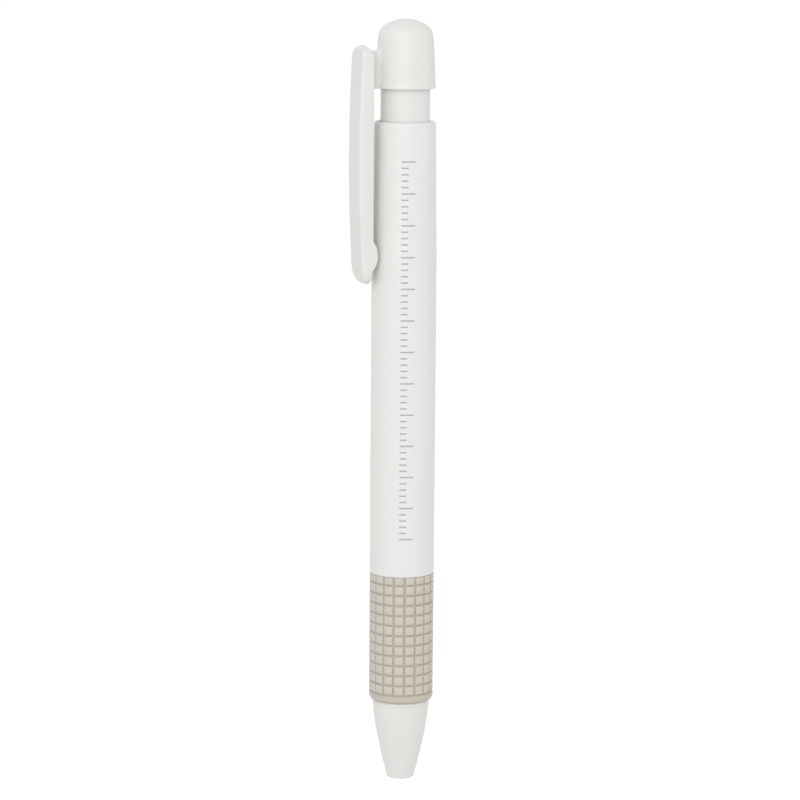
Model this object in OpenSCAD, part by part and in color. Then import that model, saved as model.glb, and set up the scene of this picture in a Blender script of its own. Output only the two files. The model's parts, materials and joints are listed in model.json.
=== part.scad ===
// Retractable eraser: a click-action holder, shaped like a pen, for a round eraser stick.
// Millimetres. The nose tip is at z = 0, the holder's axis is Z and the clip is on the -X side.
// Pressing the cap slides the stem, tube and chuck down against the spring. The ring that closes the
// chuck's jaws stops first, so the jaws come out of it, open, and let the stick feed forward.

/* [Eraser stick] */
// Diameter of the eraser stick
eraser_d = 3.8; // [3.4:0.1:4.1]
// Length of a new eraser stick
eraser_len = 85; // [60:1:92]
// Depth of the stick's end inside the nose when it is drawn back
eraser_inset = 0.6; // [0.3:0.1:1.5]

/* [Nose] */
// Length of the nose cone that shows below the grip
nose_len = 13; // [12.6:0.1:15]
// Diameter of the cone where it meets the grip
nose_base_d = 9.1; // [8.9:0.05:9.4]
// Wall of the cone just above its rounded lip
lip_wall = 0.36; // [0.34:0.02:0.5]
// How far the lip's rounding draws in
lip_round = 0.32; // [0.1:0.02:0.33]
// Height of the lip's rounding
lip_rise = 0.7; // [0.3:0.1:1.2]
// Fullness of the cone: 1 is straight, more is rounder
nose_fullness = 1.44; // [1.2:0.02:1.5]
// Height of the plain band at the wide end of the cone
nose_band_h = 0.7; // [0.4:0.1:1.5]
// Step of the cone below that band
nose_band_step = 0.05; // [0.03:0.01:0.1]
// Length of the spigot that holds the cone inside the barrel
spigot_len = 4.7; // [4.5:0.1:6]

/* [Grip] */
// Length of the grip sleeve
grip_len = 20.7; // [18:0.1:26]
// Thickness of the grip sleeve over its ribs
grip_wall = 0.7; // [0.55:0.05:0.8]
// How far the grip lies below the barrel's surface
grip_inset = 0.02; // [0.01:0.01:0.1]
// Number of ring grooves
ring_grooves = 12; // [8:1:13]
// Number of grooves along the grip
long_grooves = 18; // [12:1:24]
// Width of a groove
groove_w = 0.38; // [0.3:0.02:0.5]
// Depth of a groove
groove_depth = 0.25; // [0.15:0.05:0.35]
// Height of the row above the first ring groove
grip_top_row = 1.3; // [1:0.1:2]
// Height of the plain bead below the last ring groove
grip_bead_h = 1.4; // [1.3:0.1:2]
// How far the rounding of the bead's lower edge draws in
bead_round = 0.55; // [0.3:0.05:0.6]
// Height of that rounding
bead_rise = 0.9; // [0.3:0.1:1]

/* [Barrel] */
// Diameter of the barrel's parallel stretch
barrel_d = 10.3; // [10.1:0.05:11]
// Length of the barrel that shows between the grip and the rear rim
barrel_len = 72.3; // [66:0.1:80]
// Length of the parallel stretch above the grip
barrel_parallel = 44; // [35:1:50]
// Diameter of the barrel at its rear rim
barrel_rear_d = 9.7; // [9.6:0.05:10.2]
// Radius of the barrel's front edge
front_round = 0.3; // [0.1:0.05:0.5]
// How far the rounding of the rear rim draws in
rim_round = 0.25; // [0.1:0.05:0.25]
// Height of that rounding
rim_rise = 0.6; // [0.2:0.1:1]

/* [Click stem] */
// Diameter of the stem that shows between barrel and cap
stem_d = 7.8; // [7.6:0.05:7.9]
// Travel of the click
press_travel = 5; // [3.5:0.1:5.2]
// Gap left between cap and barrel at the end of the click
press_spare = 0.2; // [0.2:0.05:1]
// Length of the stem inside the barrel at rest
stem_guide = 14; // [12:0.5:18]
// Depth of the socket that takes the tube
stem_socket = 8; // [5:0.5:9]
// Length of the stem inside the cap
stem_hold = 6.4; // [5:0.1:6.8]
// Width of the key that keeps the clip in line
key_w = 2.2; // [1:0.1:2.2]
// Height of the key above the stem
key_h = 0.42; // [0.3:0.02:0.45]
// Depth of the key's end below the rim at rest
key_drop = 1.5; // [0.5:0.1:3]

/* [Cap] */
// Length of the cap
cap_len = 10.8; // [10.4:0.1:12]
// Diameter of the cap at its open end
cap_rim_d = 9.62; // [9.5:0.02:9.8]
// Diameter of the cap where its side meets the rounded shoulder
cap_shoulder_d = 8.64; // [8.6:0.02:9]
// Radius of the domed top
dome_r = 6; // [5.5:0.1:9]
// Radius of the rounded shoulder
shoulder_r = 2.4; // [1.5:0.1:2.6]
// How far the cap's side bulges beyond a straight cone
cap_bulge = 0.08; // [0:0.01:0.12]
// Height of the lip around the cap's open end
cap_lip_h = 0.7; // [0.4:0.1:1.2]
// How far that lip stands out
cap_lip = 0.08; // [0.02:0.01:0.1]
// Diameter of the hollow under the dome
dome_hollow_d = 5.6; // [5.2:0.1:6]
// Thickness of the dome over that hollow
dome_wall = 1.4; // [1.2:0.1:2]

/* [Clip] */
// Length of the clip
clip_len = 37.7; // [32:0.1:42]
// Distance from the cap's top down to the clip's top
clip_drop = 4; // [3.5:0.1:4.8]
// Width of the clip
clip_w = 5.2; // [3.8:0.1:5.6]
// Thickness of the clip at its ends
clip_t = 2; // [1.5:0.05:2.4]
// Extra thickness halfway along the clip
clip_bow = 0.44; // [0:0.02:0.6]
// Gap between the barrel and the clip's inner face
clip_gap = 1.05; // [0.8:0.05:1.6]
// Radius of the long edges on the outer face
clip_edge = 0.6; // [0.3:0.05:0.9]
// Length of the bump that presses on the pocket
bump_len = 4.6; // [3:0.1:6]
// Height of the bump's middle above the clip's tip
bump_up = 4.8; // [3.2:0.1:6]
// Gap between the bump and the barrel
bump_gap = 0.05; // [0.03:0.01:0.1]
// How far the clip's tip flares away from the barrel
tip_flare = 0.2; // [0.1:0.05:0.7]
// Width of the arm that joins clip and cap
arm_w = 1.6; // [1.4:0.1:3]
// Height of that arm
arm_h = 5.9; // [4:0.1:6.2]
// Radius of the hollow blend above the arm
arm_blend = 0.5; // [0.3:0.05:0.6]
// Radius of the clip's upper end, seen from the side
clip_top_round = 0.9; // [0.4:0.05:0.95]
// Radius of the clip's tip on the outer face, seen from the side
clip_tip_round = 1.2; // [0.6:0.05:1.3]

/* [Chuck] */
// Wall of the chuck's shank
chuck_wall = 0.49; // [0.45:0.02:0.6]
// How far the jaws' front stands above the shank
head_step = 0.4; // [0.3:0.02:0.45]
// How far the jaws' rear stands above the shank
head_rear_step = 0.12; // [0.06:0.02:0.16]
// Length of the jaws' conical head
head_len = 5.5; // [5:0.1:6]
// Number of jaws
jaws = 3; // [3:1:4]
// Width of the slots between the jaws
slot_w = 0.5; // [0.4:0.05:0.8]
// Length of the slots between the jaws
slot_len = 17; // [12:0.5:20]
// Number of gripping teeth inside the jaws
jaw_teeth = 4; // [2:1:5]
// Height of those teeth
tooth_h = 0.08; // [0.05:0.01:0.1]
// Distance from one tooth to the next
tooth_pitch = 0.7; // [0.5:0.1:0.9]
// Room left between the open jaws and the rubber ring
jaw_spare = 0.6; // [0.4:0.1:0.8]
// Wall of the chuck ring around the jaws' front
ring_wall = 0.26; // [0.24:0.02:0.35]
// Length of the chuck ring
ring_len = 3.4; // [3:0.1:3.4]
// Travel of the chuck ring before the nose stops it
ring_travel = 2; // [1:0.1:2.1]
// Length of the rubber ring in the nose that holds the stick
retainer_len = 3; // [2:0.1:3]
// Wall of that rubber ring
retainer_wall = 0.6; // [0.5:0.02:0.62]

/* [Spring and tube] */
// Diameter of the spring's wire
wire_d = 0.5; // [0.4:0.05:0.55]
// Number of turns
spring_turns = 9; // [7:1:11]
// Length of the spring at rest
spring_len = 16.9; // [15:0.1:18]
// Wall of the guide sleeve around the spring
sleeve_wall = 0.42; // [0.4:0.02:0.46]
// Length of the guide sleeve
sleeve_len = 10; // [7:0.5:11]
// Thickness of the guide sleeve's flange
flange_t = 1.6; // [1:0.1:2]
// Length of the barrel's narrow throat past the top of the grip
throat_len = 2; // [1:0.1:4]
// Diameter of the tube behind its collar
tube_d = 6; // [5.6:0.1:6.2]
// Length of the tube's collar, which presses on the spring
collar_len = 2.5; // [1.5:0.1:4]
// How far the collar reaches beyond the spring
collar_lip = 0.1; // [0.05:0.05:0.2]
// Radial room that the stick has inside the tube
tube_room = 0.35; // [0.2:0.05:0.4]
// Depth of the socket that takes the chuck's shank
tube_socket = 5; // [3:0.5:8]

/* [Clearances] */
// Radial clearance of what slides or turns
run_gap = 0.06; // [0.03:0.01:0.08]
// Radial clearance of what is fixed together
seat_gap = 0.02; // [0.01:0.01:0.03]
// Clearance between faces that meet at a stop
stop_gap = 0.05; // [0.03:0.01:0.1]
// Radial clearance of the stick in the jaws and the rubber ring
stick_gap = 0.03; // [0.01:0.01:0.05]
// Radial clearance of what passes without being guided
loose_gap = 0.15; // [0.1:0.05:0.2]
// Clearance between the stem's top and the floor of the cap
floor_gap = 0.2; // [0.1:0.05:0.3]

/* [Hidden] */
$fn = 96;
// Small overrun that lets a cutting solid pass a face
over = 0.5;
// Depth that a key or an arm runs into the wall that carries it, before the bore is cut
rooted = 1;

// Heights of the joints between the pieces, from the nose tip upward
z_barrel = nose_len + grip_len;
z_rim = z_barrel + barrel_len;
z_cap = z_rim + press_travel + press_spare;
z_top = z_cap + cap_len;
z_sleeve = nose_len + spigot_len;
z_flange = z_sleeve + flange_t;
z_sleeve_top = z_sleeve + sleeve_len;
z_tube = z_flange + spring_len;
z_ring = z_sleeve - stop_gap - ring_len;
z_ring_stop = z_ring - ring_travel - 2 * stop_gap;
z_jaws = z_sleeve - head_len;
z_retainer_top = z_jaws - press_travel - jaw_spare;
z_retainer = z_retainer_top - retainer_len;
z_throat_top = z_barrel + throat_len;
z_parallel = z_barrel + front_round;
z_taper = z_parallel + barrel_parallel;
z_stem = z_rim - stem_guide;
z_tube_top = z_stem + stem_socket;
z_stem_top = z_cap + stem_hold;

// Radii, from the stick outward
stick_r = eraser_d / 2;
mouth_r = stick_r + run_gap;
held_r = stick_r + stick_gap;
retainer_r = held_r + retainer_wall;
shank_bore_r = held_r + tooth_h;
shank_r = shank_bore_r + chuck_wall;
head_r = shank_r + head_step;
head_rear_r = shank_r + head_rear_step;
ring_r = head_r + run_gap + ring_wall;
// The wire's path is a polygon, so its flats and not its corners clear the shank
turn_points = 8;
coil_in_r = (shank_r + run_gap) / cos(180 / turn_points);
coil_r = coil_in_r + wire_d / 2;
coil_out_r = coil_in_r + wire_d;
sleeve_bore_r = coil_out_r + run_gap;
sleeve_r = sleeve_bore_r + sleeve_wall;
front_bore_r = sleeve_r + seat_gap;
collar_r = coil_out_r + collar_lip;
throat_r = collar_r + loose_gap;
jaw_room_r = head_r + loose_gap;
tube_r = tube_d / 2;
tube_bore_r = stick_r + tube_room;
stem_r = stem_d / 2;
barrel_bore_r = stem_r + run_gap;
barrel_r = barrel_d / 2;
grip_r = barrel_r - grip_inset;
grip_bore = grip_r - grip_wall;
front_r = grip_bore - seat_gap;
rear_r = barrel_rear_d / 2;
nose_base_r = nose_base_d / 2;
cap_bore_r = stem_r + run_gap;

// Pitch of the ring grooves
ring_pitch = (grip_len - grip_top_row - grip_bead_h) / (ring_grooves - 1);
// Angle of the first groove along the grip
groove_turn = 12;

// Points on an arc around [x, z], from angle a0 to angle a1
function arc(x, z, r, a0, a1, n) = oval(x, z, r, r, a0, a1, n);

// Points on an ellipse around [x, z] with half axes rx and rz, from angle a0 to angle a1
function oval(x, z, rx, rz, a0, a1, n) =
    [for (i = [0:n]) let (a = a0 + (a1 - a0) * i / n) [x + rx * cos(a), z + rz * sin(a)]];

// Radius of the nose cone at share t of the way from lip to band
function cone_r(t) = let (tip = mouth_r + lip_wall, base = nose_base_r - nose_band_step)
    tip + (base - tip) * (1 - pow(1 - t, nose_fullness));

module ring_cut(r, z0, z1) translate([0, 0, z0]) cylinder(h = z1 - z0, r = r);

module nose_cone() {
    tip = mouth_r + lip_wall;
    z_band = nose_len - nose_band_h;
    steps = 14;
    outline = concat(
        [[0, 0]],
        oval(tip - lip_round, lip_rise, lip_round, lip_rise, -90, 0, 6),
        [for (i = [1:steps]) [cone_r(i / steps), lip_rise + (z_band - lip_rise) * i / steps]],
        [[nose_base_r, z_band + nose_band_step], [nose_base_r, nose_len]],
        [[front_bore_r - seat_gap, nose_len], [front_bore_r - seat_gap, z_sleeve], [0, z_sleeve]]
    );
    color([0.88, 0.875, 0.86]) difference() {
        rotate_extrude() polygon(outline);
        ring_cut(mouth_r, -over, z_retainer + over);
        ring_cut(retainer_r + seat_gap, z_retainer, z_retainer_top);
        ring_cut(jaw_room_r, z_retainer_top, z_ring_stop + over);
        ring_cut(ring_r + run_gap, z_ring_stop, z_sleeve + over);
    }
}

module eraser_retainer() {
    color([0.3, 0.3, 0.31]) difference() {
        ring_cut(retainer_r, z_retainer, z_retainer_top);
        ring_cut(held_r, z_retainer - over, z_retainer_top + over);
    }
}

module grip_sleeve() {
    function groove(z) = let (half = groove_w / 2, floor_r = grip_r - groove_depth)
        [[grip_r, z - half], [floor_r, z - half], [floor_r, z + half], [grip_r, z + half]];
    z_first = nose_len + grip_bead_h;
    outline = concat(
        [[grip_bore, nose_len]],
        oval(grip_r - bead_round, nose_len + bead_rise, bead_round, bead_rise, -90, 0, 6),
        [for (i = [0:ring_grooves - 1]) each groove(z_first + i * ring_pitch)],
        [[grip_r, z_barrel], [grip_bore, z_barrel]]
    );
    color([0.76, 0.745, 0.7]) difference() {
        rotate_extrude() polygon(outline);
        for (i = [0:long_grooves - 1])
            rotate([0, 0, groove_turn + i * 360 / long_grooves])
                translate([grip_r - groove_depth, -groove_w / 2, z_first])
                    cube([groove_depth + over, groove_w, z_barrel - z_first + over]);
    }
}

module barrel() {
    taper_steps = 8;
    // How late the taper sets in: 1 is straight, more is later
    taper_bend = 1.5;
    taper_top = z_rim - rim_rise;
    outline = concat(
        [[0, nose_len], [front_r, nose_len], [front_r, z_barrel]],
        arc(barrel_r - front_round, z_barrel + front_round, front_round, -90, 0, 4),
        [for (i = [0:taper_steps]) let (t = i / taper_steps)
            [barrel_r + (rear_r - barrel_r) * pow(t, taper_bend), z_taper + (taper_top - z_taper) * t]],
        oval(rear_r - rim_round, taper_top, rim_round, rim_rise, 15, 90, 5),
        [[0, z_rim]]
    );
    color([0.91, 0.91, 0.9]) difference() {
        rotate_extrude() polygon(outline);
        ring_cut(front_bore_r, nose_len - over, z_sleeve_top + stop_gap);
        ring_cut(throat_r, z_sleeve_top, z_throat_top + over);
        ring_cut(barrel_bore_r, z_throat_top, z_rim + over);
        stem_key(run_gap, z_stem - press_travel - over, z_rim + over);
    }
}

// The key on the stem's clip side, and with a gap the keyway that it slides in
module stem_key(gap, z0, z1) {
    translate([-stem_r - key_h - gap, -key_w / 2 - gap, z0])
        cube([key_h + gap + rooted, key_w + 2 * gap, z1 - z0]);
}

module guide_sleeve() {
    color([0.8, 0.8, 0.78]) difference() {
        ring_cut(sleeve_r, z_sleeve, z_sleeve_top);
        ring_cut(shank_r + run_gap, z_sleeve - over, z_flange + over);
        ring_cut(sleeve_bore_r, z_flange, z_sleeve_top + over);
    }
}

// Centre line of the spring's wire
wire_z0 = z_flange + wire_d / 2 + stop_gap;
wire_z1 = z_tube - wire_d / 2 - stop_gap;
wire_path = [for (i = [0:spring_turns * turn_points]) let (t = i / (spring_turns * turn_points))
    [coil_r * cos(360 * spring_turns * t), coil_r * sin(360 * spring_turns * t),
     wire_z0 + (wire_z1 - wire_z0) * t]];
// Least distance between the wire's own surfaces, over points half a turn or more apart
spring_gap = min([for (i = [0:len(wire_path) - 1]) for (j = [i + turn_points / 2:1:len(wire_path) - 1])
    norm(wire_path[i] - wire_path[j])]) - wire_d;
echo(str("Least gap between the spring's turns: ", spring_gap, " mm"));

module spring() {
    sides = 6;
    rows = len(wire_path);
    points = [for (i = [0:rows - 1]) let (a = 360 * i / turn_points) for (k = [0:sides - 1])
        let (b = 360 * k / sides, out = wire_d / 2 * cos(b), up = wire_d / 2 * sin(b))
        wire_path[i] + [out * cos(a), out * sin(a), up]];
    around = [for (i = [0:rows - 2]) for (k = [0:sides - 1]) let (
        here = i * sides + k, next = i * sides + (k + 1) % sides) each [
        [here, here + sides, next], [next, here + sides, next + sides]]];
    ends = [for (k = [1:sides - 2]) each [
        [0, k, k + 1], [(rows - 1) * sides, (rows - 1) * sides + k + 1, (rows - 1) * sides + k]]];
    color([0.7, 0.71, 0.73]) polyhedron(points, concat(around, ends));
}

module chuck_ring() {
    slope = (head_r - head_rear_r) / head_len;
    lower = head_r - slope * (z_ring - z_jaws) + run_gap;
    upper = lower - slope * ring_len;
    chamfer = 0.2;
    outline = [
        [lower, z_ring], [ring_r - chamfer, z_ring], [ring_r, z_ring + chamfer],
        [ring_r, z_ring + ring_len], [upper, z_ring + ring_len]
    ];
    color([0.8, 0.68, 0.4]) rotate_extrude() polygon(outline);
}

module chuck() {
    first_slot = 30;
    z_end = z_tube + tube_socket;
    z_head = z_sleeve - 2 * stop_gap;
    slope = (head_r - head_rear_r) / head_len;
    nose_chamfer = 0.3;
    teeth = [for (i = [0:jaw_teeth - 1]) each [
        [held_r, z_jaws + i * tooth_pitch], [held_r, z_jaws + (i + 0.4) * tooth_pitch],
        [shank_bore_r, z_jaws + (i + 0.6) * tooth_pitch], [shank_bore_r, z_jaws + (i + 0.9) * tooth_pitch]]];
    z_teeth = z_jaws + jaw_teeth * tooth_pitch;
    outline = concat(
        teeth,
        [[shank_bore_r, z_teeth], [shank_bore_r, z_end], [shank_r, z_end], [shank_r, z_head]],
        [[head_rear_r + slope * 2 * stop_gap, z_head]],
        [[head_r - slope * nose_chamfer, z_jaws + nose_chamfer], [head_r - nose_chamfer, z_jaws]]
    );
    color([0.86, 0.85, 0.8]) difference() {
        rotate_extrude() polygon(outline);
        for (i = [0:jaws - 1]) rotate([0, 0, first_slot + i * 360 / jaws]) {
            translate([0, -slot_w / 2, z_jaws - over]) cube([head_r + over, slot_w, slot_len + over]);
            translate([0, 0, z_jaws + slot_len]) rotate([0, 90, 0])
                cylinder(h = shank_r + over, r = slot_w * 0.8, $fn = 32);
        }
    }
}

module eraser_tube() {
    outline = [
        [shank_r + seat_gap, z_tube], [collar_r, z_tube], [collar_r, z_tube + collar_len],
        [tube_r, z_tube + collar_len], [tube_r, z_tube_top], [tube_bore_r, z_tube_top],
        [tube_bore_r, z_tube + tube_socket], [shank_r + seat_gap, z_tube + tube_socket]
    ];
    color([0.9, 0.9, 0.88]) rotate_extrude() polygon(outline);
}

module knock_stem() {
    chamfer = 0.3;
    outline = [
        [tube_r + seat_gap, z_stem], [stem_r - chamfer, z_stem], [stem_r, z_stem + chamfer],
        [stem_r, z_stem_top - chamfer], [stem_r - chamfer, z_stem_top], [tube_bore_r, z_stem_top],
        [tube_bore_r, z_tube_top], [tube_r + seat_gap, z_tube_top]
    ];
    color([0.9, 0.9, 0.88]) {
        rotate_extrude() polygon(outline);
        difference() {
            stem_key(0, z_stem, z_rim - key_drop);
            ring_cut(stem_r - chamfer, z_stem - over, z_rim);
        }
    }
}

// Side of the cap from its rounded shoulder down to the lip
function cap_side_r(t) = let (a = cap_shoulder_d / 2, b = cap_rim_d / 2 - cap_lip)
    a + (b - a) * t + 4 * cap_bulge * t * (1 - t);

module cap_shell() {
    lean = 6;
    corner_x = cap_shoulder_d / 2 - shoulder_r * cos(lean);
    dome_z = z_top - dome_r;
    corner_z = dome_z + sqrt(pow(dome_r - shoulder_r, 2) - pow(corner_x, 2));
    meet = atan2(corner_z - dome_z, corner_x);
    side_top = corner_z + shoulder_r * sin(lean);
    side_bottom = z_cap + cap_lip_h;
    steps = 8;
    edge = 0.15;
    outline = concat(
        [[0, z_cap]],
        [[cap_rim_d / 2 - edge, z_cap], [cap_rim_d / 2, z_cap + edge], [cap_rim_d / 2, side_bottom - cap_lip]],
        [for (i = [steps:-1:0]) [cap_side_r(i / steps), side_top + (side_bottom - side_top) * i / steps]],
        [for (i = [1:8]) let (a = lean + (meet - lean) * i / 8)
            [corner_x + shoulder_r * cos(a), corner_z + shoulder_r * sin(a)]],
        [for (i = [1:8]) let (a = meet + (90 - meet) * i / 8) [dome_r * cos(a), dome_z + dome_r * sin(a)]]
    );
    rotate_extrude() polygon(outline);
}

clip_in = barrel_r + clip_gap;
clip_out = clip_in + clip_t;
clip_top = z_top - clip_drop;
clip_tip = clip_top - clip_len;

// Puts an outline drawn as [distance from the axis, height] on the clip side, width w across
module on_clip_side(w) mirror([1, 0, 0]) rotate([90, 0, 0])
    linear_extrude(height = w, center = true) children();

// The clip is where three outlines meet: from the side, from the front and along its length
module clip_blade() {
    tip_chamfer = 0.25;
    bump_z = clip_tip + bump_up;
    bump_h = clip_gap - bump_gap;
    bump_r = (pow(bump_len / 2, 2) + pow(bump_h, 2)) / (2 * bump_h);
    bump_a = asin(min(1, bump_len / 2 / bump_r));
    bow_steps = 12;
    bow_top = clip_top - clip_top_round;
    bow_tip = clip_tip + clip_tip_round;
    side = concat(
        arc(clip_in + clip_top_round, bow_top, clip_top_round, 180, 90, 5),
        arc(clip_out - clip_top_round, bow_top, clip_top_round, 90, 0, 5),
        [for (i = [1:bow_steps - 1]) let (t = i / bow_steps)
            [clip_out + 4 * clip_bow * t * (1 - t), bow_top + (bow_tip - bow_top) * t]],
        arc(clip_out - clip_tip_round, bow_tip, clip_tip_round, 0, -90, 5),
        [[clip_in + tip_flare, clip_tip + tip_chamfer]],
        arc(clip_in - bump_h + bump_r, bump_z, bump_r, 180 + bump_a, 180 - bump_a, 10)
    );
    half = clip_w / 2;
    tip_h = 3;
    front = concat(
        [for (i = [0:16]) let (a = 180 * i / 16) [half * cos(a), clip_top - half + half * sin(a)]],
        [for (i = [0:16]) let (a = 180 + 180 * i / 16) [half * cos(a), clip_tip + tip_h + tip_h * sin(a)]]
    );
    deep = clip_t + clip_bow + clip_gap;
    intersection() {
        on_clip_side(clip_w + 1) polygon(side);
        rotate([90, 0, -90]) linear_extrude(height = clip_out + 2) polygon(front);
        translate([-clip_out - clip_bow, 0, clip_tip - 1])
            linear_extrude(height = clip_len + 2) union() {
                translate([clip_edge, -half]) square([deep - clip_edge, clip_w]);
                translate([0, clip_edge - half]) square([deep, clip_w - 2 * clip_edge]);
                for (s = [-1, 1]) translate([clip_edge, s * (half - clip_edge)]) circle(r = clip_edge);
            }
    }
}

// The arm between clip and cap, with a hollow blend on its upper side
module clip_arm() {
    arm_top = z_cap + arm_h;
    inner = cap_bore_r + loose_gap;
    face = cap_shoulder_d / 2;
    outline = concat(
        [[inner, z_cap], [clip_in + rooted, z_cap], [clip_in + rooted, arm_top]],
        arc(clip_in - arm_blend, arm_top + arm_blend, arm_blend, 0, -90, 5),
        arc(face + 2 * cap_bulge + arm_blend, arm_top + arm_blend, arm_blend, -90, -180, 5),
        [[inner, arm_top + arm_blend]]
    );
    on_clip_side(arm_w) polygon(outline);
}

module knock_cap() {
    z_floor = z_stem_top + floor_gap;
    color([0.91, 0.91, 0.895]) difference() {
        union() {
            cap_shell();
            clip_blade();
            clip_arm();
        }
        ring_cut(cap_bore_r, z_cap - over, z_floor);
        ring_cut(dome_hollow_d / 2, z_floor - over, z_top - dome_wall);
    }
}

module eraser() {
    edge = 0.15;
    z1 = eraser_inset + eraser_len;
    outline = [
        [0, eraser_inset], [stick_r - edge, eraser_inset], [stick_r, eraser_inset + edge],
        [stick_r, z1 - edge], [stick_r - edge, z1], [0, z1]
    ];
    color([0.95, 0.95, 0.94]) rotate_extrude() polygon(outline);
}

nose_cone();
eraser_retainer();
grip_sleeve();
barrel();
guide_sleeve();
spring();
chuck_ring();
chuck();
eraser_tube();
knock_stem();
knock_cap();
eraser();
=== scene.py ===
import json
import math

import bmesh
import bpy
from bpy.props import FloatProperty, FloatVectorProperty, IntProperty, PointerProperty
from bpy.types import Operator, Panel, PropertyGroup
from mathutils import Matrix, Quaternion, Vector


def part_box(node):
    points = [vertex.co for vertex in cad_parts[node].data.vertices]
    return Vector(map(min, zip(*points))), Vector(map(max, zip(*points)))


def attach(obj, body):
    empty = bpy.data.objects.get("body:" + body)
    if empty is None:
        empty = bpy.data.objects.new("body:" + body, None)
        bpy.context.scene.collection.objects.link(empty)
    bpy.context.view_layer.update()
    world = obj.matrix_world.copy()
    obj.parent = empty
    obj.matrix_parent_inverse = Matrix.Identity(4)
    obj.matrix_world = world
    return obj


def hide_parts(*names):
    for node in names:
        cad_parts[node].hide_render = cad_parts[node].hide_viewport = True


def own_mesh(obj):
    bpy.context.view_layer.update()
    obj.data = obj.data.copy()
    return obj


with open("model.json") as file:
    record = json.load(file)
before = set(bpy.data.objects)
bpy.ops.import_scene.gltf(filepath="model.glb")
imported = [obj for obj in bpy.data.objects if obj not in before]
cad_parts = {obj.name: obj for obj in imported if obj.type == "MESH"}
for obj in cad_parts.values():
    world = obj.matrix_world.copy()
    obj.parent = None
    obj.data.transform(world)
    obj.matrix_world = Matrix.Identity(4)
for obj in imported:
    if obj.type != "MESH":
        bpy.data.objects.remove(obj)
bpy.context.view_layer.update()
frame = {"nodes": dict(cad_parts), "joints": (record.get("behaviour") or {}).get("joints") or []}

bl_info = {
    "name": "Retractable eraser",
    "version": (1, 0, 0),
    "blender": (4, 5, 0),
    "location": "View3D > Sidebar > Eraser",
    "description": "Dresses the pieces of a click-action eraser holder",
    "category": "Add Mesh",
}

MM = 0.001
WHITE = (1.0, 1.0, 1.0, 1.0)
FLOOR_WHITE = (0.8, 0.8, 0.8, 1.0)
FLOOR_REACH = 6.0

# Points and edges of a mesh that are closer or shorter than this are merged
SAME_POINT = 0.0005 * MM
NO_EDGE = 0.0002 * MM

# Lamps: the setting that holds the power, azimuth and elevation in degrees, and the side in metres
LAMPS = {
    "front lamp": ("key", -33.0, 24.0, 0.40),
    "right lamp": ("fill", 65.0, 12.0, 0.35),
}
LAMP_DISTANCE = 0.55
LIT_HEIGHT = 60 * MM

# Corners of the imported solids' boxes, in metres. Their z is a height on the axis, their x a radius
GRIP_LOW, GRIP_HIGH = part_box("grip_sleeve")
BARREL_LOW, BARREL_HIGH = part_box("barrel")
STEM_LOW, STEM_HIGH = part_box("knock_stem")
CAP_LOW, CAP_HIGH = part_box("knock_cap")
NOSE_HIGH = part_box("nose_cone")[1]
SPRING_LOW, SPRING_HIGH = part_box("spring")
STICK_LOW, STICK_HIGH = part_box("eraser")
TUBE_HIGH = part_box("eraser_tube")[1]
SLEEVE_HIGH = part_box("guide_sleeve")[1]
RING_LOW, RING_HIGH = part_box("chuck_ring")
SEAL_LOW, SEAL_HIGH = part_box("eraser_retainer")
CHUCK_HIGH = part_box("chuck")[1]

# Clearances, the same as the solids have
RUN_GAP = 0.06 * MM
SEAT_GAP = 0.02 * MM
STOP_GAP = 0.05 * MM
LOOSE_GAP = 0.15 * MM


def travel(joint):
    """The far end of a joint's range, in metres."""
    return next(j["range_m"][1] for j in frame["joints"] if j["name"] == joint)


# Geometry


def oval(x, z, wide, tall, start, end, steps, power=1.0):
    """Points on an oval round x, z between two angles in degrees. A power under 1 makes it squarer."""
    points = []
    for i in range(steps + 1):
        a = math.radians(start + (end - start) * i / steps)
        across, up = math.cos(a), math.sin(a)
        across = math.copysign(abs(across) ** power, across)
        up = math.copysign(abs(up) ** power, up)
        points.append((x + wide * across, z + tall * up))
    return points


def arc(x, z, r, start, end, steps):
    """Points [x, z] on an arc round a centre."""
    return oval(x, z, r, r, start, end, steps)


def spread(start, end, step):
    """Evenly spaced values from start to end, about step apart."""
    count = max(1, round(abs(end - start) / step))
    return [start + (end - start) * i / count for i in range(count + 1)]


def smooth_max(a, b, width):
    """The larger of two values, with the change-over rounded."""
    h = max(width - abs(a - b), 0) / width
    return max(a, b) + h * h * width / 4


def polar(r, angle, z):
    """The point at this radius, angle and height."""
    return r * math.cos(angle), r * math.sin(angle), z


def turned(outline, columns=144):
    """Columns of points for an outline of [radius, height] that is turned round the axis."""
    angles = [2 * math.pi * i / columns for i in range(columns)]
    return [[polar(r, a, z) for r, z in outline] for a in angles]


def join(mesh, here, past, closed=True):
    """Adds the quads between two rows of vertices."""
    for j in range(len(here) if closed else len(here) - 1):
        k = (j + 1) % len(here)
        mesh.faces.new((here[j], past[j], past[k], here[k]))


def skin(mesh, columns, closed=True):
    """Adds a shell over columns of points. The columns close in a ring, and each may close too."""
    grid = [[mesh.verts.new(p) for p in column] for column in columns]
    for here, past in zip(grid, grid[1:] + grid[:1]):
        join(mesh, here, past, closed)


def tube(mesh, loops):
    """Adds a solid over closed loops of points, with a face at each end."""
    grid = [[mesh.verts.new(p) for p in loop] for loop in loops]
    for here, past in zip(grid, grid[1:]):
        join(mesh, here, past)
    mesh.faces.new(grid[0])
    mesh.faces.new(grid[-1])


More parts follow.
